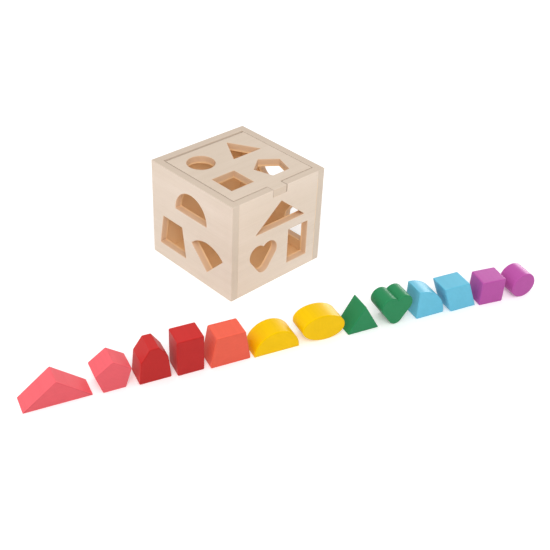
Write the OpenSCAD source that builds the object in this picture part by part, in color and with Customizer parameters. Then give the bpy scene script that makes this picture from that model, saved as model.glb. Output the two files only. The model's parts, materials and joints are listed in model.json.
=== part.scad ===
// Wooden shape-sorting box: four walls, a bottom panel, a hinged lid and thirteen loose blocks.
// The origin is the centre of the box's underside. X runs to the right and Y to the back.
// Each block is a straight prism, drawn as an outline that stands on the line y = 0.
// Each hole is the same outline grown by the fitting clearance.

/* [Box] */
// Width of the box, left to right
box_w = 140; // [130:1:160]
// Depth of the box, front to back
box_d = 140; // [136:1:160]
// Height of the box
box_h = 123; // [120:1:140]
// Thickness of the walls and of the lid
board = 9.5; // [8:0.5:10]
// Thickness of the bottom panel
bottom_t = 4; // [3:0.5:8]

/* [Lid] */
// Gap between the lid's edges and the walls
lid_gap = 1; // [0.6:0.1:1.2]
// Width of the finger tab on the lid's front edge
tab_w = 20; // [14:1:30]
// Gap on each side of the tab in its notch, on average
tab_gap = 0.8; // [0.6:0.1:1]
// Middle of the notch for the tab, across
notch_x = 0.4; // [-0.4:0.1:0.4]

/* [Hinge pins] */
// Diameter of each pin
pin_d = 3; // [2:0.5:4]
// Length of each pin
pin_len = 17; // [14:1:20]
// Length of each pin that is fixed in its side wall
pin_hold = 6; // [4:0.5:7]
// Play of the lid on the pins, on the diameter
pin_play = 0.16; // [0.04:0.02:0.2]

/* [Blocks] */
// Length of every block along its axis
block_len = 26; // [22:1:30]
// Clearance all round between a block and its hole
fit = 1; // [0.6:0.1:1.6]
// Width of the roof-shaped triangle
roof_w = 70.5; // [60:0.5:72]
// Height of the roof-shaped triangle
roof_h = 29; // [22:0.5:30]
// Distance from the pentagon's centre to its corners
pentagon_r = 20; // [17:0.5:21]
// Width of the barn block's base
barn_base_w = 34.5; // [31:0.5:36]
// Width of the barn block at its eaves
barn_eaves_w = 29; // [24:0.5:31]
// Width of the barn block's flat top
barn_top_w = 9.5; // [6:0.5:16]
// Height of the barn block's eaves
barn_eaves_h = 27; // [20:0.5:32]
// Height of the barn block
barn_h = 41.5; // [36:0.5:43]
// Width of the rectangle
rectangle_w = 29; // [24:0.5:31]
// Height of the rectangle
rectangle_h = 43.5; // [36:0.5:44]
// Width of the trapezoid's base
trapezoid_base_w = 45; // [40:0.5:46.5]
// Width of the trapezoid's top
trapezoid_top_w = 32.5; // [26:0.5:36]
// Height of the trapezoid
trapezoid_h = 37; // [30:0.5:38]
// Radius of the half circle
half_r = 26.2; // [22:0.2:27]
// Width of the oval
oval_w = 51.4; // [44:0.2:53]
// Height of the oval
oval_h = 32; // [26:0.5:34]
// Side of the equal-sided triangle
triangle_side = 38.5; // [32:0.5:39]
// Radius of each lobe of the heart
lobe_r = 11; // [9.6:0.2:11.4]
// Distance of each lobe's centre from the heart's middle
lobe_x = 8.6; // [7.5:0.1:9]
// Height of the lobes' centres above the heart's tip
lobe_y = 25; // [22:0.2:26]
// Radius of the heart's rounded tip
tip_r = 8; // [3:0.5:9]
// Radius of the quarter circle
quarter_r = 36; // [31:0.5:37]
// Width of the slanted block
slant_w = 33.5; // [28:0.5:34.5]
// Height of the slanted block
slant_h = 34; // [28:0.5:35]
// Sideways lean of the slanted block's top
slant_lean = 13.5; // [8:0.5:14]
// Width of the square
square_w = 30.5; // [26:0.5:32]
// Height of the square
square_h = 31; // [26:0.5:32]
// Diameter of the round block
round_d = 31; // [26:0.2:32]

/* [Holes in the front wall] */
// Middle of the roof-shaped hole
roof_x = 3; // [-8:0.5:8]
// Height of the roof-shaped block's base in its hole
roof_z = 74.6; // [70:0.1:76]
// Middle of the heart-shaped hole
heart_x = -22; // [-26:0.5:-16]
// Height of the heart's tip in its hole
heart_z = 21.2; // [16:0.1:26]
// Middle of the rectangular hole
rectangle_x = 32; // [24:0.5:38]
// Height of the rectangle's base in its hole
rectangle_z = 17; // [14:0.1:24]

/* [Holes in the left wall] */
// Middle of the half-round hole
half_y = 0; // [-10:0.5:10]
// Height of the half circle's base in its hole
half_z = 79.4; // [76:0.1:82]
// Middle of the trapezoidal hole
trapezoid_y = 33.2; // [28:0.1:34]
// Height of the trapezoid's base in its hole
trapezoid_z = 19.4; // [15:0.1:25]
// Middle of the quarter-round hole, which stands on its corner
quarter_y = -28; // [-31:0.5:-26]
// Height of the quarter circle's corner in its hole
quarter_z = 20.4; // [17:0.1:24]

/* [Holes in the right wall] */
// Middle of the oval hole
oval_y = 1.5; // [-8:0.5:8]
// Height of the oval's lowest point in its hole
oval_z = 73.5; // [72:0.1:78]
// Middle of the barn-shaped hole
barn_y = -35.7; // [-38:0.1:-30]
// Height of the barn block's base in its hole
barn_z = 17.7; // [14:0.1:24]
// Middle of the slanted hole
slant_y = 30.7; // [24:0.1:33]
// Height of the slanted block's base in its hole
slant_z = 19.3; // [14:0.1:30]

/* [Holes in the lid] */
// Centre of the round hole, across
round_x = -31; // [-36:0.5:-24]
// Centre of the round hole, front to back
round_y = 28.5; // [22:0.5:32]
// Middle of the equal-sided triangle, across
triangle_x = 25; // [20:0.5:32]
// Front side of the equal-sided triangle in its hole
triangle_y = 12.5; // [8:0.1:15]
// Middle of the square hole, across
square_x = -30.3; // [-36:0.1:-24]
// Front side of the square in its hole
square_y = -41; // [-42:0.1:-34]
// Centre of the pentagonal hole, across
pentagon_x = 25; // [20:0.5:30]
// Centre of the pentagonal hole, front to back
pentagon_y = -28; // [-32:0.5:-24]

/* [Row of blocks] */
// Start of the row on the table, left to right
row_x = -345; // [-360:1:-340]
// Start of the row on the table, front to back
row_y = -72.5; // [-110:0.5:-60]
// Direction of the row, turned from the X axis
row_turn = -21; // [-24:0.5:-18]
// Turn of each block against the row
block_turn = 3; // [-3:0.5:4]
// Turn of the square block against the row
square_turn = -1.5; // [-5:0.5:3]
// Tilt of the oval block on the table
oval_tilt = -8; // [-15:1:15]

/* [Hidden] */
$fn = 96;

inner_w = box_w - 2 * board;
inner_d = box_d - 2 * board;
// The lid turns about this axis, midway through its back edge.
hinge_y = inner_d / 2 - lid_gap - board / 2;
hinge_z = box_h - board / 2;
// Room beyond the end of each pin in its bore in the lid.
bore_room = 0.7;
bore_depth = pin_len - pin_hold - lid_gap + bore_room;
// How far a cut runs past the faces of a board.
over = 1;
// Straight sides that stand for each curve that is not a whole circle.
oval_sides = 72;
lobe_sides = 36;
tip_sides = 16;

// Each block's place in the row: along it to the middle of the block, and behind its line.
roof_place = [39.6, -0.2];
pentagon_place = [96, 1.1];
barn_place = [138, 0.7];
rectangle_place = [175.4, 0.3];
trapezoid_place = [218.6, 0.3];
half_circle_place = [271, 1.5];
oval_place = [325.5, 3.3];
triangle_place = [373.4, 2.1];
heart_place = [412.9, 2.1];
quarter_circle_place = [439.2, 1.2];
slanted_place = [493.6, 0.8];
square_place = [535.7, -0.8];
round_place = [577.7, -1.6];

bare_wood = [0.91, 0.83, 0.74];
plywood = [0.88, 0.76, 0.6];
steel = [0.72, 0.72, 0.74];
pink = [0.93, 0.42, 0.45];
dark_red = [0.76, 0.18, 0.18];
salmon = [0.95, 0.4, 0.3];
yellow = [0.97, 0.76, 0.05];
green = [0.16, 0.52, 0.34];
light_blue = [0.39, 0.71, 0.83];
purple = [0.73, 0.3, 0.63];

// ---- Outlines -------------------------------------------------------------------------------

function edge_normal(a, b) = let (d = (b - a) / norm(b - a)) [d[1], -d[0]];

// A polygon drawn anticlockwise, with every side moved outwards by g.
function grown(points, g) =
    let (n = len(points))
    [for (i = [0:n - 1])
        let (before = edge_normal(points[(i + n - 1) % n], points[i]),
             after = edge_normal(points[i], points[(i + 1) % n]))
        points[i] + g * (before + after) / (1 + before * after)];

function arc(centre, r, from, to, sides) =
    [for (i = [0:sides])
        let (a = from + (to - from) * i / sides)
        centre + r * [cos(a), sin(a)]];

module roof_outline(g = 0) {
    polygon(grown([[-roof_w / 2, 0], [roof_w / 2, 0], [0, roof_h]], g));
}

// The pentagon is drawn about its centre, with one corner up.
module pentagon_outline(g = 0) {
    polygon(grown([for (i = [0:4]) pentagon_r * [cos(90 + 72 * i), sin(90 + 72 * i)]], g));
}

module barn_outline(g = 0) {
    polygon(grown([[-barn_base_w / 2, 0], [barn_base_w / 2, 0],
                   [barn_eaves_w / 2, barn_eaves_h], [barn_top_w / 2, barn_h],
                   [-barn_top_w / 2, barn_h], [-barn_eaves_w / 2, barn_eaves_h]], g));
}

module rectangle_outline(w, h, g = 0) {
    polygon(grown([[-w / 2, 0], [w / 2, 0], [w / 2, h], [-w / 2, h]], g));
}

module trapezoid_outline(g = 0) {
    polygon(grown([[-trapezoid_base_w / 2, 0], [trapezoid_base_w / 2, 0],
                   [trapezoid_top_w / 2, trapezoid_h], [-trapezoid_top_w / 2, trapezoid_h]], g));
}

module half_circle_outline(g = 0) {
    r = half_r + g;
    intersection() {
        circle(r);
        translate([-r, -g]) square([2 * r, r + g]);
    }
}

module oval_outline(g = 0) {
    w = oval_w / 2 + g;
    h = oval_h / 2 + g;
    step = 360 / oval_sides;
    polygon([for (i = [1:oval_sides]) [w * cos(step * i), oval_h / 2 + h * sin(step * i)]]);
}

module triangle_outline(g = 0) {
    polygon(grown([[-triangle_side / 2, 0], [triangle_side / 2, 0],
                   [0, triangle_side * sin(60)]], g));
}

// Two lobes and a rounded tip, joined by straight flanks that touch all three circles.
module heart_outline(g = 0) {
    reach = norm([lobe_x, lobe_y - tip_r]);
    flank = atan(lobe_x / (lobe_y - tip_r)) + asin((lobe_r - tip_r) / reach);
    dip = acos(lobe_x / (lobe_r + g));
    polygon(concat(
        arc([0, tip_r], tip_r + g, flank - 180, -flank, tip_sides),
        arc([lobe_x, lobe_y], lobe_r + g, -flank, 180 - dip, lobe_sides),
        arc([-lobe_x, lobe_y], lobe_r + g, dip, 180 + flank, lobe_sides)));
}

module quarter_circle_outline(g = 0) {
    r = quarter_r + g;
    intersection() {
        circle(r);
        translate([-g, -g]) square([r + g, r + g]);
    }
}

module slant_outline(g = 0) {
    w = slant_w / 2;
    lean = slant_lean / 2;
    polygon(grown([[lean - w, 0], [lean + w, 0], [w - lean, slant_h], [-w - lean, slant_h]], g));
}

module round_outline(g = 0) {
    circle(round_d / 2 + g);
}

// ---- Box ------------------------------------------------------------------------------------

// Each of these cuts an outline through one board, drawn as it is seen from outside the box.
module through_front(x, z) {
    translate([x, over + board - box_d / 2, z])
        rotate([90, 0, 0]) linear_extrude(board + 2 * over) children();
}

module through_left(y, z) {
    translate([over + board - box_w / 2, y, z])
        rotate([90, 0, -90]) linear_extrude(board + 2 * over) children();
}

module through_right(y, z) {
    translate([box_w / 2 - board - over, y, z])
        rotate([90, 0, 90]) linear_extrude(board + 2 * over) children();
}

module through_lid(x, y) {
    translate([x, y, box_h - board - over]) linear_extrude(board + 2 * over) children();
}

// The side walls run the full depth of the box. Each holds one hinge pin in a blind bore.
module side_board(side) {
    difference() {
        translate([side * (box_w - board) / 2, 0, box_h / 2])
            cube([board, box_d, box_h], center = true);
        translate([side * (inner_w / 2 - over), hinge_y, hinge_z])
            rotate([0, side * 90, 0]) cylinder(h = pin_hold + over, d = pin_d);
    }
}

module left_wall() {
    color(bare_wood) difference() {
        side_board(-1);
        through_left(half_y, half_z) half_circle_outline(fit);
        through_left(trapezoid_y, trapezoid_z) trapezoid_outline(fit);
        through_left(quarter_y, quarter_z) rotate(45) quarter_circle_outline(fit);
    }
}

module right_wall() {
    color(bare_wood) difference() {
        side_board(1);
        through_right(oval_y, oval_z) oval_outline(fit);
        through_right(barn_y, barn_z) barn_outline(fit);
        through_right(slant_y, slant_z) slant_outline(fit);
    }
}

// The front and back walls stand between the side walls.
module cross_board(side) {
    translate([0, side * (box_d - board) / 2, box_h / 2])
        cube([inner_w, board, box_h], center = true);
}

module front_wall() {
    notch_w = tab_w + 2 * tab_gap;
    color(bare_wood) difference() {
        cross_board(-1);
        translate([notch_x - notch_w / 2, -box_d / 2 - over, box_h - board])
            cube([notch_w, board + 2 * over, board + over]);
        through_front(roof_x, roof_z) roof_outline(fit);
        through_front(heart_x, heart_z) heart_outline(fit);
        through_front(rectangle_x, rectangle_z) rectangle_outline(rectangle_w, rectangle_h, fit);
    }
}

module back_wall() {
    color(bare_wood) cross_board(1);
}

module bottom_panel() {
    color(plywood) translate([0, 0, bottom_t / 2])
        cube([inner_w, inner_d, bottom_t], center = true);
}

// The top of the lid's back edge is rounded about the hinge axis, so that it swings clear of
// the back wall. The tab on the front edge lies over the front wall, in its notch.
module lid_plate() {
    w = inner_w - 2 * lid_gap;
    front = lid_gap - inner_d / 2;
    bottom = box_h - board;
    translate([-w / 2, front, bottom]) cube([w, hinge_y - front, board]);
    translate([-w / 2, hinge_y, bottom]) cube([w, board / 2, board / 2]);
    translate([0, hinge_y, hinge_z]) rotate([0, 90, 0]) cylinder(h = w, d = board, center = true);
    translate([-tab_w / 2, -box_d / 2, bottom]) cube([tab_w, front + box_d / 2 + over, board]);
}

module pin_bore(side) {
    translate([side * (inner_w / 2 - lid_gap - bore_depth), hinge_y, hinge_z])
        rotate([0, side * 90, 0]) cylinder(h = bore_depth + over, d = pin_d + pin_play);
}

module lid() {
    color(bare_wood) difference() {
        lid_plate();
        pin_bore(-1);
        pin_bore(1);
        through_lid(round_x, round_y) round_outline(fit);
        through_lid(triangle_x, triangle_y) triangle_outline(fit);
        through_lid(square_x, square_y) rectangle_outline(square_w, square_h, fit);
        through_lid(pentagon_x, pentagon_y) pentagon_outline(fit);
    }
}

module hinge_pin(side) {
    color(steel) translate([side * (inner_w / 2 + pin_hold - pin_len), hinge_y, hinge_z])
        rotate([0, side * 90, 0]) cylinder(h = pin_len, d = pin_d);
}

// ---- Blocks ---------------------------------------------------------------------------------

// Stands a block in the row, with the front face of its outline at the block's place.
module in_row(place, turn = block_turn) {
    translate([row_x, row_y, 0]) rotate(row_turn)
        translate([place[0], place[1], 0]) rotate(turn)
            translate([0, block_len, 0]) rotate([90, 0, 0]) linear_extrude(block_len) children();
}

module roof_block() {
    color(pink) in_row(roof_place) roof_outline();
}

module pentagon_block() {
    color(pink) in_row(pentagon_place) translate([0, pentagon_r * cos(36)]) pentagon_outline();
}

module barn_block() {
    color(dark_red) in_row(barn_place) barn_outline();
}

module rectangle_block() {
    color(dark_red) in_row(rectangle_place) rectangle_outline(rectangle_w, rectangle_h);
}

module trapezoid_block() {
    color(salmon) in_row(trapezoid_place) trapezoid_outline();
}

module half_circle_block() {
    color(yellow) in_row(half_circle_place) half_circle_outline();
}

module oval_block() {
    // The height of a tilted oval's centre above the table.
    centre_h = norm([oval_w / 2 * sin(oval_tilt), oval_h / 2 * cos(oval_tilt)]);
    color(yellow) in_row(oval_place)
        translate([0, centre_h]) rotate(oval_tilt) translate([0, -oval_h / 2]) oval_outline();
}

module triangle_block() {
    color(green) in_row(triangle_place) triangle_outline();
}

module heart_block() {
    color(green) in_row(heart_place) heart_outline();
}

module quarter_circle_block() {
    color(light_blue) in_row(quarter_circle_place) quarter_circle_outline();
}

module slanted_block() {
    color(light_blue) in_row(slanted_place) slant_outline();
}

module square_block() {
    color(purple) in_row(square_place, square_turn) rectangle_outline(square_w, square_h);
}

module round_block() {
    color(purple) in_row(round_place) translate([0, round_d / 2]) round_outline();
}

left_wall();
right_wall();
front_wall();
back_wall();
bottom_panel();
lid();
hinge_pin(-1);  // hinge_pin_left
hinge_pin(1);  // hinge_pin_right
roof_block();
pentagon_block();
barn_block();
rectangle_block();
trapezoid_block();
half_circle_block();
oval_block();
triangle_block();
heart_block();
quarter_circle_block();
slanted_block();
square_block();
round_block();
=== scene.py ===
"""Looks for the wooden shape sorter: rounded boards and blocks, wood, stain, light and camera.

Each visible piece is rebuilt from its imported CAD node: the outline of the node's flat face is
read, its corners are rounded, and it is extruded with rounded edges, so that the piece has the
CAD piece's size and place. All lengths are in metres.
"""

import json
import math

import bmesh
import bpy
from mathutils import Matrix, Vector
from mathutils.geometry import tessellate_polygon


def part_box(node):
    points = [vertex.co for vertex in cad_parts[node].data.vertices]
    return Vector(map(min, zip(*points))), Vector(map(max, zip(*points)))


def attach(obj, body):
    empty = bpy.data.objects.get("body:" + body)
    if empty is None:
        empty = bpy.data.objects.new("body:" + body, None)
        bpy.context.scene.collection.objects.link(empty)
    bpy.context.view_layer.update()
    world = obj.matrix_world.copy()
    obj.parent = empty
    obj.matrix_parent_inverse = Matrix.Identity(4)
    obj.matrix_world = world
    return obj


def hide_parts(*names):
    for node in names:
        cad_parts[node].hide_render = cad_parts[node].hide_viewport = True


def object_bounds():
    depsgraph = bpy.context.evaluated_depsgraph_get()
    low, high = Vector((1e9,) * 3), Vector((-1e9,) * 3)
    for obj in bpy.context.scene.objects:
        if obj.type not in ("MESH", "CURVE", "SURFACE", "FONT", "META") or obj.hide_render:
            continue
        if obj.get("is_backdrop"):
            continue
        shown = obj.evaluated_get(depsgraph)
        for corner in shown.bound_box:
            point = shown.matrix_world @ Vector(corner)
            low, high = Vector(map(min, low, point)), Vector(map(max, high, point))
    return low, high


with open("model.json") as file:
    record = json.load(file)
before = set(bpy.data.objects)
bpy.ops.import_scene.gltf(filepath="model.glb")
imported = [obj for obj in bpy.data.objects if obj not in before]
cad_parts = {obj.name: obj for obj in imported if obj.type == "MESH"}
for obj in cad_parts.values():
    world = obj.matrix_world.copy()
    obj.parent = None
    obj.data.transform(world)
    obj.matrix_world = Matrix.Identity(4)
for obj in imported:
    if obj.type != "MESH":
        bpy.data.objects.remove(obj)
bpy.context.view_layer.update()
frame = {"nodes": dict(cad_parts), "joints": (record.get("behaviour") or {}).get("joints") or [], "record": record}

MM = 0.001
UP = Vector((0, 0, 1))
SCENE = bpy.context.scene

# ---- Shapes ---------------------------------------------------------------------------------

# A point of a flat face lies this close to the face's plane.
FLAT = 0.02 * MM
# A turn sharper than this is a corner, and a gentler one belongs to a curve.
CORNER = math.radians(18)
# One straight piece of a rounded corner turns through at most this much.
ARC_STEP = math.radians(20)
# Steps from the flat face to the side round each edge.
EDGE_STEPS = 4
# Edges that turn less than this are shaded as one smooth surface.
SMOOTH = math.radians(35)
# Points closer than this are one point.
SAME_POINT = 0.001 * MM
# Sides of a drilled hole.
DRILL_SIDES = 48
# Degrees between the lines along the lid's rounded back edge.
BACK_EDGE_STEP = 10
# The lid's ends, which are rounded already, reach this far in.
LID_END = 1.5 * MM


def face_loops(node, normal, u, v):
    """The outlines of the node's flat face towards normal, in the axes u and v.

    Material lies on the left of each loop, as seen with u to the right and v up.
    """
    mesh = frame["nodes"][node].data
    height = max(vertex.co.dot(normal) for vertex in mesh.vertices)
    mesh.calc_loop_triangles()
    following = {}
    for triangle in mesh.loop_triangles:
        points = [mesh.vertices[i].co for i in triangle.vertices]
        if any(height - p.dot(normal) > FLAT for p in points):
            continue
        keys = [tuple(p) for p in points]
        for start, end in zip(keys, keys[1:] + keys[:1]):
            # An edge inside the face is met once each way, and an edge of its outline once.
            if start in following.get(end, ()):
                following[end].remove(start)
            else:
                following.setdefault(start, []).append(end)
    loops = []
    following = {start: ends[0] for start, ends in following.items() if ends}
    while following:
        start = here = next(iter(following))
        loop = []
        while here in following:
            loop.append(Vector((Vector(here).dot(u), Vector(here).dot(v))))
            here = following.pop(here)
        loops.append(loop)
    if u.cross(v).dot(normal) < 0:
        loops = [loop[::-1] for loop in loops]
    return loops


class OutlinePoint:
    """A point of a rounded outline, which knows where it goes when the outline shrinks."""

    def __init__(self, at, outwards, corner=None, mitre=None, radius=math.inf):
        self.at = at
        self.outwards = outwards
        self.corner = corner
        self.mitre = mitre
        self.radius = radius

    def inset(self, depth):
        """Beyond the corner's radius, all the points of its arc meet on its bisector."""
        if depth < self.radius:
            return self.at - self.outwards * depth
        return self.corner - self.mitre * depth


def rounded(loop, radius, loss):
    """The loop with its corners rounded, each by no more than loss at its tip."""
    outline = []
    for before, here, after in zip(loop[-1:] + loop[:-1], loop, loop[1:] + loop[:1]):
        arriving = (here - before).normalized()
        leaving = (after - here).normalized()
        turn = math.atan2(arriving.cross(leaving), arriving.dot(leaving))
        normals = [Vector((d.y, -d.x)) for d in (arriving, leaving)]
        mitre = (normals[0] + normals[1]) / (1 + normals[0].dot(normals[1]))
        if abs(turn) < CORNER:
            outline.append(OutlinePoint(here, mitre))
            continue
        half = abs(turn) / 2
        r = min(radius, loss / (1 / math.cos(half) - 1))
        shortest = min((here - before).length, (after - here).length)
        reach = min(r * math.tan(half), 0.45 * shortest)
        r = reach / math.tan(half)
        side = math.copysign(1, turn)
        centre = here - mitre * (r * side)
        steps = max(2, math.ceil(abs(turn) / ARC_STEP))
        for k in range(steps + 1):
            a = turn * k / steps
            out = Vector((normals[0].x * math.cos(a) - normals[0].y * math.sin(a),
                          normals[0].x * math.sin(a) + normals[0].y * math.cos(a)))
            limit = r if side > 0 else math.inf
            outline.append(OutlinePoint(centre + out * (r * side), out, here, mitre, limit))
    return outline


def prism(name, loops, thickness, edge, corner, loss):
    """A board or a block: the loops, centred on z = 0, with rounded corners and edges.

    The layer "cut" of its face corners is 1 in the holes and 0 elsewhere.
    """
    outlines = [rounded(loop, corner, loss) for loop in loops]
    quarter = [math.pi / 2 * k / EDGE_STEPS for k in range(EDGE_STEPS + 1)]
    rings = [(edge * (1 - math.sin(a)), thickness / 2 - edge * (1 - math.cos(a))) for a in quarter]
    rings += [(inset, -z) for inset, z in reversed(rings)]
    bm = bmesh.new()
    cut = bm.loops.layers.float.new("cut")
    front, back = [], []
    for loop, outline in zip(loops, outlines):
        # Holes run clockwise.
        hole = sum(a.cross(b) for a, b in zip(loop, loop[1:] + loop[:1])) < 0
        made = []
        for inset, z in rings:
            flat = [point.inset(inset) for point in outline]
            made.append([bm.verts.new((p.x, p.y, z)) for p in flat])
        count = len(outline)
        for upper, lower in zip(made, made[1:]):
            for i in range(count):
                j = (i + 1) % count
                face = bm.faces.new((upper[i], lower[i], lower[j], upper[j]))
                for corner_of_face in face.loops:
                    corner_of_face[cut] = float(hole)
        front.append(made[0])
        back.append(made[-1])
    for caps, turned in ((front, False), (back, True)):
        flat = [vertex for ring in caps for vertex in ring]
        for triangle in tessellate_polygon([[vertex.co for vertex in ring] for ring in caps]):
            corners = [flat[i] for i in triangle]
            face = bm.faces.new(corners)
            face.normal_update()
            if (face.normal.z < 0) != turned:
                face.normal_flip()
    bmesh.ops.remove_doubles(bm, verts=bm.verts, dist=SAME_POINT)
    bmesh.ops.dissolve_degenerate(bm, edges=bm.edges, dist=SAME_POINT)
    mesh = bpy.data.meshes.new(name)
    bm.to_mesh(mesh)
    bm.free()
    return mesh


def finish_mesh(piece):
    """Smooth shading that keeps the flat faces flat."""
    mesh = piece.data
    mesh.polygons.foreach_set("use_smooth", [True] * len(mesh.polygons))
    mesh.set_sharp_from_angle(angle=SMOOTH)
    weighted = piece.modifiers.new("flat_faces_stay_flat", "WEIGHTED_NORMAL")
    weighted.keep_sharp = True
    weighted.weight = 80


def add_piece(node, u, v, edge, corner, loss, read_from=1):
    """Builds the visible piece for a prism-shaped node and puts it in the node's place.

    u and v are the axes of its outline. The outline is read from the face on the side of
    u x v, or with read_from = -1 from the opposite face.
    """
    w = u.cross(v)
    loops = face_loops(node, w * read_from, u, v)
    across = [p for loop in loops for p in loop]
    along = [vertex.co.dot(w) for vertex in frame["nodes"][node].data.vertices]
    centre = Vector(((min(p.x for p in across) + max(p.x for p in across)) / 2,
                     (min(p.y for p in across) + max(p.y for p in across)) / 2))
    loops = [[p - centre for p in loop] for loop in loops]
    mesh = prism(node + "_look", loops, max(along) - min(along), edge, corner, loss)
    piece = bpy.data.objects.new(node + "_look", mesh)
    SCENE.collection.objects.link(piece)
    place = Matrix((u, v, w)).transposed().to_4x4()
    place.translation = u * centre.x + v * centre.y + w * ((max(along) + min(along)) / 2)
    piece.matrix_world = place
    return piece


def settle(piece, node, body):
    """Finishes a piece: it stands for its node, and rides on its body."""
    finish_mesh(piece)
    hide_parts(node)
    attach(piece, body)


def drill(piece, start, direction, depth, radius):
    """Cuts a blind round hole into a piece. start and direction are in the row's frame."""
    bm = bmesh.new()
    # Half of the cutter's length lies outside the piece.
    bmesh.ops.create_cone(bm, cap_ends=True, segments=DRILL_SIDES, radius1=radius,
                          radius2=radius, depth=depth * 2)
    mesh = bpy.data.meshes.new("drill")
    bm.to_mesh(mesh)
    bm.free()
    cutter = bpy.data.objects.new("drill", mesh)
    SCENE.collection.objects.link(cutter)
    turned = direction.to_track_quat("Z", "Y").to_matrix().to_4x4()
    cutter.matrix_world = Matrix.Translation(start) @ turned
    cut = piece.modifiers.new("drill", "BOOLEAN")
    cut.operation = "DIFFERENCE"
    cut.solver = "EXACT"
    cut.object = cutter
    bpy.context.view_layer.update()
    drilled = piece.evaluated_get(bpy.context.evaluated_depsgraph_get())
    piece.data = bpy.data.meshes.new_from_object(drilled)
    piece.modifiers.clear()
    bpy.data.objects.remove(cutter)


def round_back_edge(piece, axis_y, radius):
    """Rounds the top of the lid's back edge about the hinge axis, which runs along x at axis_y."""
    bm = bmesh.new()
    bm.from_mesh(piece.data)
    axis = Vector((0, axis_y, 0))
    half_width = max(vertex.co.x for vertex in bm.verts)
    for degrees in range(BACK_EDGE_STEP, 91, BACK_EDGE_STEP):
        a = math.radians(degrees)
        near = [face for face in bm.faces
                if any(p.co.y > axis_y and p.co.z > 0 for p in face.verts)]
        geometry = set(near)
        for face in near:
            geometry.update(face.edges)
            geometry.update(face.verts)
        bmesh.ops.bisect_plane(bm, geom=list(geometry), dist=SAME_POINT / 2, plane_co=axis,
                               plane_no=(0, -math.sin(a), math.cos(a)))
    for vertex in bm.verts:
        y = vertex.co.y - axis_y
        z = vertex.co.z
        if y <= 0 or z <= 0:
            continue
        at_end = half_width - abs(vertex.co.x) < LID_END
        length = max(y, z) if at_end else radius
        scale = length / math.hypot(y, z)
        vertex.co.y = axis_y + y * scale
        vertex.co.z = z * scale
    bmesh.ops.remove_doubles(bm, verts=bm.verts, dist=SAME_POINT)
    bm.to_mesh(piece.data)
    bm.free()


# ---- Materials ------------------------------------------------------------------------------


class Nodes:
    """A material's node tree, with one short call for each node."""

    def __init__(self, name):
        self.material = bpy.data.materials.new(name)
        self.material.use_nodes = True
        self.tree = self.material.node_tree
        self.tree.nodes.clear()
        self.shader = self.add("ShaderNodeBsdfPrincipled")
        output = self.add("ShaderNodeOutputMaterial")
        self.link(self.shader.outputs["BSDF"], output.inputs["Surface"])

    def add(self, kind, **settings):
        node = self.tree.nodes.new(kind)
        for key, value in settings.items():
            setattr(node, key, value)
        return node

    def link(self, source, target):
        self.tree.links.new(source, target)

    def feed(self, target, value):
        """Links a socket, or sets a constant."""
        if isinstance(value, bpy.types.NodeSocket):
            self.link(value, target)
        else:
            target.default_value = value

    def math(self, operation, a, b=0.0, clamp=False):
        node = self.add("ShaderNodeMath", operation=operation, use_clamp=clamp)
        self.feed(node.inputs[0], a)
        self.feed(node.inputs[1], b)
        return node.outputs[0]

    def fade(self, value, low, high, to_low=0.0, to_high=1.0):
        """A soft step from to_low to to_high while value goes from low to high."""
        node = self.add("ShaderNodeMapRange", interpolation_type="SMOOTHSTEP")
        self.feed(node.inputs["Value"], value)
        node.inputs["From Min"].default_value = low
        node.inputs["From Max"].default_value = high
        node.inputs["To Min"].default_value = to_low
        node.inputs["To Max"].default_value = to_high
        return node.outputs["Result"]

    def mix(self, factor, a, b, blend="MIX"):
        node = self.add("ShaderNodeMix", data_type="RGBA", blend_type=blend)
        self.feed(node.inputs["Factor"], factor)
        for socket, value in zip([s for s in node.inputs if s.type == "RGBA"], (a, b)):
            self.feed(socket, value if isinstance(value, bpy.types.NodeSocket) else (*value, 1))
        return [s for s in node.outputs if s.type == "RGBA"][0]

    def own(self, kind, axis):
        """One coordinate in the piece's own axes: of the place (Object) or of the Normal."""
        split = self.add("ShaderNodeSeparateXYZ")
        self.link(self.add("ShaderNodeTexCoord").outputs[kind], split.inputs["Vector"])
        return split.outputs[axis]

    def stretched(self, coordinates, scale):
        node = self.add("ShaderNodeMapping")
        self.link(coordinates, node.inputs["Vector"])
        node.inputs["Scale"].default_value = scale
        return node.outputs["Vector"]

    def noise(self, coordinates, scale, detail=2.0, roughness=0.5):
        """Noise with so many features to the metre along each axis."""
        node = self.add("ShaderNodeTexNoise")
        self.link(self.stretched(coordinates, scale), node.inputs["Vector"])
        node.inputs["Scale"].default_value = 1.0
        node.inputs["Detail"].default_value = detail
        node.inputs["Roughness"].default_value = roughness
        return node.outputs["Fac"]


class Grain:
    """Patterns of one piece of wood, in three dimensions: along its grain and across it."""

    def __init__(self, nodes, along, heart):
        """along is the axis of the grain, x or z. heart is where the tree's centre line lies."""
        n = nodes
        place = n.add("ShaderNodeTexCoord").outputs["Object"]
        turned = n.add("ShaderNodeMapping")
        n.link(place, turned.inputs["Vector"])
        turned.inputs["Location"].default_value = heart
        turned.inputs["Rotation"].default_value = (0, math.pi / 2 if along == "z" else 0, 0)
        at = turned.outputs["Vector"]
        wave = n.add("ShaderNodeTexWave", wave_type="RINGS", rings_direction="X",
                     wave_profile="SAW")
        n.link(n.stretched(at, (0.07, 1, 1)), wave.inputs["Vector"])
        wave.inputs["Scale"].default_value = 75
        wave.inputs["Distortion"].default_value = 2.2
        wave.inputs["Detail"].default_value = 2
        wave.inputs["Detail Scale"].default_value = 0.35
        self.rings = wave.outputs["Fac"]
        self.streaks = n.noise(at, (5, 90, 90), 3, 0.55)
        self.fibres = n.noise(at, (14, 900, 900), 3, 0.6)
        self.pores = n.fade(n.noise(at, (160, 1700, 1700), 1), 0.62, 0.74)
        self.clouds = n.noise(at, (14, 26, 26), 2)


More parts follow.
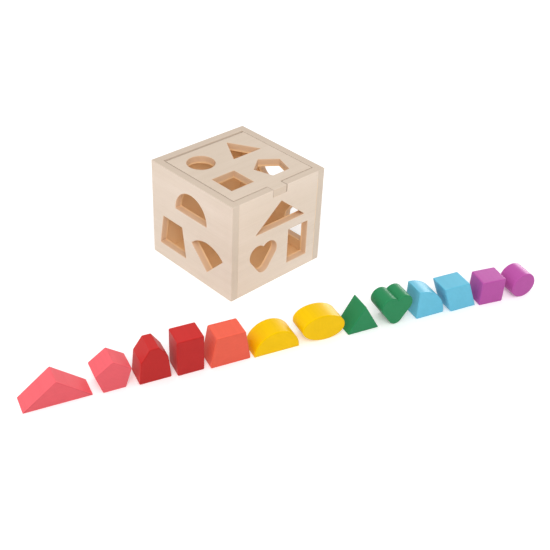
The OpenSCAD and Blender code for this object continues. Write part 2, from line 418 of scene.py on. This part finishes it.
# A surface counts as facing along an axis when its normal's part along it is between these.
FACING_LOW = 0.4
FACING_HIGH = 0.8


def facing(nodes, axis):
    """1 where the surface faces along one of the piece's own axes, either way."""
    return nodes.fade(nodes.math("ABSOLUTE", nodes.own("Normal", axis)), FACING_LOW, FACING_HIGH)


def side_mask(nodes):
    """1 on a piece's sides and 0 on its two flat faces."""
    return nodes.math("SUBTRACT", 1.0, facing(nodes, "Z"))


def surface_relief(nodes, grain, strength):
    """Open pores and raised fibres."""
    height = nodes.math("SUBTRACT", nodes.math("MULTIPLY", grain.fibres, 0.6),
                        nodes.math("MULTIPLY", grain.pores, 0.5))
    height = nodes.math("ADD", height, nodes.math("MULTIPLY", grain.rings, 0.15))
    bump = nodes.add("ShaderNodeBump")
    bump.inputs["Strength"].default_value = strength
    bump.inputs["Distance"].default_value = 0.15 * MM
    nodes.link(height, bump.inputs["Height"])
    nodes.link(bump.outputs["Normal"], nodes.shader.inputs["Normal"])


def bare_wood(name, tones, heart, inner_top=1.0, along="x"):
    """Sanded wood without a finish.

    tones are the colours of its pale and deep parts, its long edges, its ends, its holes, which are
    sawn and carry painted shade, and its back, which is painted bounce light. The back has its own
    colour up to inner_top, a height in the piece's own axes.
    """
    n = Nodes(name)
    grain = Grain(n, along, heart)
    pale, deep, edge, end, sawn_and_shade, inner = tones
    shade = n.math("ADD", n.math("MULTIPLY", grain.rings, 0.16),
                   n.math("MULTIPLY", n.fade(grain.streaks, 0.3, 0.7), 0.44))
    shade = n.math("ADD", shade, n.math("MULTIPLY", n.fade(grain.clouds, 0.3, 0.7), 0.4))
    colour = n.mix(shade, pale, deep)
    in_hole = n.add("ShaderNodeAttribute", attribute_name="cut").outputs["Fac"]
    outer_side = n.math("SUBTRACT", side_mask(n), in_hole, clamp=True)
    side = n.mix(facing(n, "X"), edge, end)
    dark_side = n.mix(1.0, side, [0.94] * 3, "MULTIPLY")
    colour = n.mix(outer_side, colour, n.mix(shade, side, dark_side))
    colour = n.mix(n.fade(grain.fibres, 0.35, 0.75, 0.0, 0.12), colour, [c * 0.8 for c in deep])
    colour = n.mix(n.math("MULTIPLY", grain.pores, 0.15), colour, [c * 0.7 for c in deep])
    # The piece's own Z is 0 in the middle of the board and rises towards its outer face.
    height = n.own("Object", "Z")
    # Painted shade in the holes: their walls turn towards the sawn tone, more so deeper in the board.
    cut = n.math("MULTIPLY", in_hole, n.fade(height, 2 * MM, 4.6 * MM, 0.95, 0.8))
    colour = n.mix(cut, colour, n.mix(0.9, colour, sawn_and_shade))
    # Painted bounce light: the inner face below inner_top turns towards a warm tone, for light that bounces inside
    # the box.
    painted_bounce_mask = n.fade(height, -4.6 * MM, -1 * MM, 0.95, 0.0)
    painted_bounce_mask = n.math("SUBTRACT", painted_bounce_mask, outer_side, clamp=True)
    below = n.fade(n.own("Object", "Y"), inner_top - 2 * MM, inner_top, 1.0, 0.0)
    colour = n.mix(n.math("MULTIPLY", painted_bounce_mask, below), colour, n.mix(0.9, colour, inner))
    n.link(colour, n.shader.inputs["Base Color"])
    n.link(n.fade(grain.fibres, 0.3, 0.7, 0.62, 0.74), n.shader.inputs["Roughness"])
    n.shader.inputs["Specular IOR Level"].default_value = 0.15
    surface_relief(n, grain, 0.25)
    return n.material


def stained_wood(name, colour, ends_stain_and_shade, heart):
    """Wood with a thin coloured coat. ends_stain_and_shade is its brightness on the ends: end grain soaks up the
    stain, and painted shade darkens them further.
    """
    n = Nodes(name)
    grain = Grain(n, "z", heart)
    dark = [c * 0.88 for c in colour]
    shade = n.math("ADD", n.math("MULTIPLY", grain.rings, 0.2),
                   n.math("MULTIPLY", n.fade(grain.streaks, 0.3, 0.7), 0.4))
    coat = n.mix(shade, colour, dark)
    coat = n.mix(n.fade(grain.fibres, 0.4, 0.8, 0.0, 0.2), coat, dark)
    # End grain and painted shade: the ends are darker than the sides.
    coat = n.mix(side_mask(n), n.mix(1.0, coat, [ends_stain_and_shade] * 3, "MULTIPLY"), coat)
    n.link(coat, n.shader.inputs["Base Color"])
    n.link(n.fade(grain.clouds, 0.3, 0.7, 0.42, 0.52), n.shader.inputs["Roughness"])
    n.shader.inputs["Specular IOR Level"].default_value = 0.26
    # The coat colours what it reflects, except at a grazing angle.
    n.shader.inputs["Specular Tint"].default_value = (*colour, 1)
    n.shader.inputs["Coat Weight"].default_value = 0.04
    n.shader.inputs["Coat Roughness"].default_value = 0.3
    surface_relief(n, grain, 0.15)
    return n.material


def drawn_steel(name):
    """Steel wire with fine marks along its length, which runs along x."""
    n = Nodes(name)
    place = n.add("ShaderNodeTexCoord").outputs["Object"]
    marks = n.noise(place, (60, 4000, 4000), 2)
    n.link(n.mix(marks, (0.5, 0.5, 0.52), (0.68, 0.68, 0.7)), n.shader.inputs["Base Color"])
    n.link(n.fade(marks, 0.3, 0.7, 0.25, 0.42), n.shader.inputs["Roughness"])
    n.shader.inputs["Metallic"].default_value = 1.0
    return n.material


# ---- The box --------------------------------------------------------------------------------

# Linear colours of the bare wood: its long edges, its ends, its holes (sawn, with painted shade) and the inside of
# the box (painted bounce light, warm from the walls).
EDGE = (0.61, 0.5, 0.4)
END = (0.6, 0.505, 0.415)
SAWN_AND_SHADE = (0.68, 0.44, 0.265)
PAINTED_BOUNCE_LIGHT = (0.96, 0.66, 0.36)
WALL = ((0.705, 0.598, 0.505), (0.65, 0.543, 0.443), EDGE, END, SAWN_AND_SHADE, PAINTED_BOUNCE_LIGHT)
# The lid's tones are a little darker than the walls': painted shade on the top, which the lamps light more than
# the sides.
LID = ((0.665, 0.555, 0.455), (0.61, 0.5, 0.395), EDGE, END, SAWN_AND_SHADE, PAINTED_BOUNCE_LIGHT)
# The bottom panel lies inside the box, so its main tones are painted bounce light too.
BOTTOM = (PAINTED_BOUNCE_LIGHT, (0.9, 0.6, 0.32), EDGE, END, SAWN_AND_SHADE, (0.8, 0.62, 0.45))

X = Vector((1, 0, 0))
Y = Vector((0, 1, 0))

# Radius of the boards' rounded edges and corners: sanded, but nearly square.
BOARD_EDGE = 0.45 * MM
BOARD_CORNER = 0.5 * MM

# Room round each pin in the lid's bore, and beyond the pin's end.
PIN_ROOM = 0.08 * MM
PIN_END_ROOM = 0.7 * MM

# node: axes of the outline, and where the tree's centre line lies from the board.
BOARDS = {
    "left_wall": (-Y, UP, (0.3, 0.021, 0.064)),
    "right_wall": (Y, UP, (0.9, -0.017, 0.071)),
    "front_wall": (X, UP, (0.5, 0.012, 0.058)),
    "back_wall": (-X, UP, (1.7, -0.026, 0.066)),
    "bottom_panel": (X, Y, (2.3, 0.01, 0.09)),
    "lid": (X, Y, (1.2, -0.014, 0.075)),
}

body_of_node = {node: body for body, nodes in frame["record"]["behaviour"]["bodies"].items()
                for node in nodes}
hinge = Vector(next(j["pos_m"] for j in frame["joints"] if j["name"] == "lid_hinge"))

for node, (u, v, heart) in BOARDS.items():
    # The top of the lid's back edge is rounded, so its outline is read from below.
    piece = add_piece(node, u, v, BOARD_EDGE, BOARD_CORNER, BOARD_CORNER,
                      read_from=-1 if node == "lid" else 1)
    low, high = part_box(node)
    if node == "lid":
        round_back_edge(piece, hinge.y - piece.matrix_world.translation.y, (high.z - low.z) / 2)
    for pin in ("hinge_pin_left", "hinge_pin_right"):
        pin_low, pin_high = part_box(pin)
        pin_middle = (pin_low + pin_high) / 2
        pin_radius = (pin_high.z - pin_low.z) / 2
        outwards = math.copysign(1, pin_middle.x)
        if node == "lid":
            edge_x = high.x if outwards > 0 else low.x
            inner_end = pin_low.x if outwards > 0 else pin_high.x
            drill(piece, Vector((edge_x, hinge.y, hinge.z)), -outwards * X,
                  abs(edge_x - inner_end) + PIN_END_ROOM, pin_radius + PIN_ROOM)
        elif node == ("left_wall" if outwards < 0 else "right_wall"):
            face_x = low.x if outwards > 0 else high.x
            outer_end = pin_high.x if outwards > 0 else pin_low.x
            drill(piece, Vector((face_x, hinge.y, hinge.z)), outwards * X,
                  abs(face_x - outer_end), pin_radius)
    settle(piece, node, body_of_node[node])
    piece.data.materials.clear()
    tones = {"lid": LID, "bottom_panel": BOTTOM}.get(node, WALL)
    # The painted bounce light on the inside of the walls is seen under the lid; above that, in the gap round the
    # lid, the walls keep their plain tones.
    inner_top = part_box("lid")[0].z - (low.z + high.z) / 2 if tones is WALL else 1.0
    piece.data.materials.append(bare_wood(node + "_wood", tones, heart, inner_top))

steel = drawn_steel("hinge_steel")
for pin in ("hinge_pin_left", "hinge_pin_right"):
    frame["nodes"][pin].material_slots[0].material = steel

# ---- The blocks -----------------------------------------------------------------------------

BLOCK_EDGE = 1.3 * MM
BLOCK_CORNER = 1.6 * MM
# The most that rounding takes off a block's corner.
BLOCK_LOSS = 0.7 * MM

# Each stain: its colour, and its brightness on the blocks' ends against that on their sides, from end grain that
# soaks up the stain and from painted shade.
PINK = ((0.87, 0.133, 0.158), 0.7)
DARK_RED = ((0.565, 0.03, 0.028), 0.68)
SALMON = ((0.85, 0.13, 0.079), 0.73)
YELLOW = ((0.87, 0.535, 0.001), 0.8)
GREEN = ((0.027, 0.235, 0.092), 0.82)
LIGHT_BLUE = ((0.135, 0.485, 0.655), 0.86)
PURPLE = ((0.48, 0.092, 0.365), 0.78)

BLOCKS = {
    "roof_block": PINK,
    "pentagon_block": PINK,
    "barn_block": DARK_RED,
    "rectangle_block": DARK_RED,
    "trapezoid_block": SALMON,
    "half_circle_block": YELLOW,
    "oval_block": YELLOW,
    "triangle_block": GREEN,
    "heart_block": GREEN,
    "quarter_circle_block": LIGHT_BLUE,
    "slanted_block": LIGHT_BLUE,
    "square_block": PURPLE,
    "round_block": PURPLE,
}


def front_direction(node):
    """The horizontal axis of a prism that lies on its side, towards the front.

    Each face of a prism is square to its axis or along it. Of the directions that fit, the one
    nearest to the front is taken, as the mean of the faces that look that way.
    """
    polygons = frame["nodes"][node].data.polygons
    faces = [(p.normal.copy(), p.area) for p in polygons if p.area > MM * MM]
    fitting = [axis for axis, _ in faces
               if abs(axis.z) < 0.01
               and all(abs(n.dot(axis)) < 0.01 or abs(n.dot(axis)) > 0.9999 for n, _ in faces)]
    axis = min(fitting, key=lambda candidate: candidate.y)
    mean = sum((n * area for n, area in faces if n.dot(axis) > 0.9999), Vector())
    mean.z = 0
    return mean.normalized()


for number, (node, (colour, ends_stain_and_shade)) in enumerate(BLOCKS.items()):
    front = front_direction(node)
    piece = add_piece(node, UP.cross(front), UP, BLOCK_EDGE, BLOCK_CORNER, BLOCK_LOSS)
    settle(piece, node, body_of_node[node])
    # Each block comes from a different place in its stick.
    turn = 2.4 * number
    heart = (0.13 * number, 0.03 * math.cos(turn), 0.03 * math.sin(turn))
    piece.data.materials.append(stained_wood(node + "_stain", colour, ends_stain_and_shade, heart))

# ---- Floor, light and camera ----------------------------------------------------------------


# Half the floor's width, and how far it lies below the object.
FLOOR_REACH = 6
FLOOR_DROP = 0.05 * MM


def add_floor():
    """A plain white floor, just under the object."""
    bm = bmesh.new()
    bmesh.ops.create_grid(bm, size=FLOOR_REACH)
    mesh = bpy.data.meshes.new("floor")
    bm.to_mesh(mesh)
    bm.free()
    floor = bpy.data.objects.new("floor", mesh)
    floor.location.z = -FLOOR_DROP
    SCENE.collection.objects.link(floor)
    n = Nodes("floor_white")
    n.shader.inputs["Base Color"].default_value = (0.97, 0.97, 0.97, 1)
    n.shader.inputs["Roughness"].default_value = 0.9
    # A little light of its own keeps the floor white right up to the object.
    n.shader.inputs["Emission Color"].default_value = (1, 1, 1, 1)
    n.shader.inputs["Emission Strength"].default_value = 0.13
    n.shader.inputs["Specular IOR Level"].default_value = 0.1
    mesh.materials.append(n.material)
    floor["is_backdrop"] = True


def add_world(strength):
    world = bpy.data.worlds.new("studio")
    world.use_nodes = True
    background = world.node_tree.nodes["Background"]
    background.inputs["Color"].default_value = (1, 1, 1, 1)
    background.inputs["Strength"].default_value = strength
    SCENE.world = world


def add_soft_light(name, place, target, size, power, sheen_only=False):
    """A round lamp. With sheen_only it shows in reflections and lights nothing else."""
    light = bpy.data.lights.new(name, "AREA")
    light.shape = "DISK"
    light.size = size
    light.energy = power
    lamp = bpy.data.objects.new(name, light)
    lamp.location = place
    lamp.rotation_euler = (Vector(target) - Vector(place)).to_track_quat("-Z", "Y").to_euler()
    lamp.visible_camera = False
    lamp.visible_diffuse = not sheen_only
    SCENE.collection.objects.link(lamp)


def add_camera():
    """The view's angles are in degrees. Azimuth 0 looks along +Y, and the camera is rolled."""
    azimuth = math.radians(-45.256)
    elevation = math.radians(34.836)
    roll = math.radians(2.857)
    distance = 1.0051
    target = Vector((-0.0565, -0.1244, 0.06))
    back = Vector((math.sin(azimuth) * math.cos(elevation),
                   -math.cos(azimuth) * math.cos(elevation), math.sin(elevation)))
    level = UP.cross(back).normalized()
    above = back.cross(level)
    right = level * math.cos(roll) + above * math.sin(roll)
    upward = above * math.cos(roll) - level * math.sin(roll)
    camera = bpy.data.objects.new("camera", bpy.data.cameras.new("camera"))
    camera.data.sensor_width = 36
    camera.data.lens = 61.61
    camera.data.clip_start = 0.01
    place = Matrix((right, upward, back)).transposed().to_4x4()
    place.translation = target + back * distance
    camera.matrix_world = place
    SCENE.collection.objects.link(camera)
    SCENE.camera = camera


add_floor()
add_world(strength=0.85)
add_soft_light("window", place=(-1.42, -1.67, 2.2), target=(-0.05, -0.1, 0.05), size=1.8, power=42)
add_soft_light("far_window", place=(2.0, 0.3, 0.25), target=(-0.05, -0.1, 0.02), size=1.2,
               power=30, sheen_only=True)
add_camera()
SCENE.view_settings.view_transform = "Standard"

low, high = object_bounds()
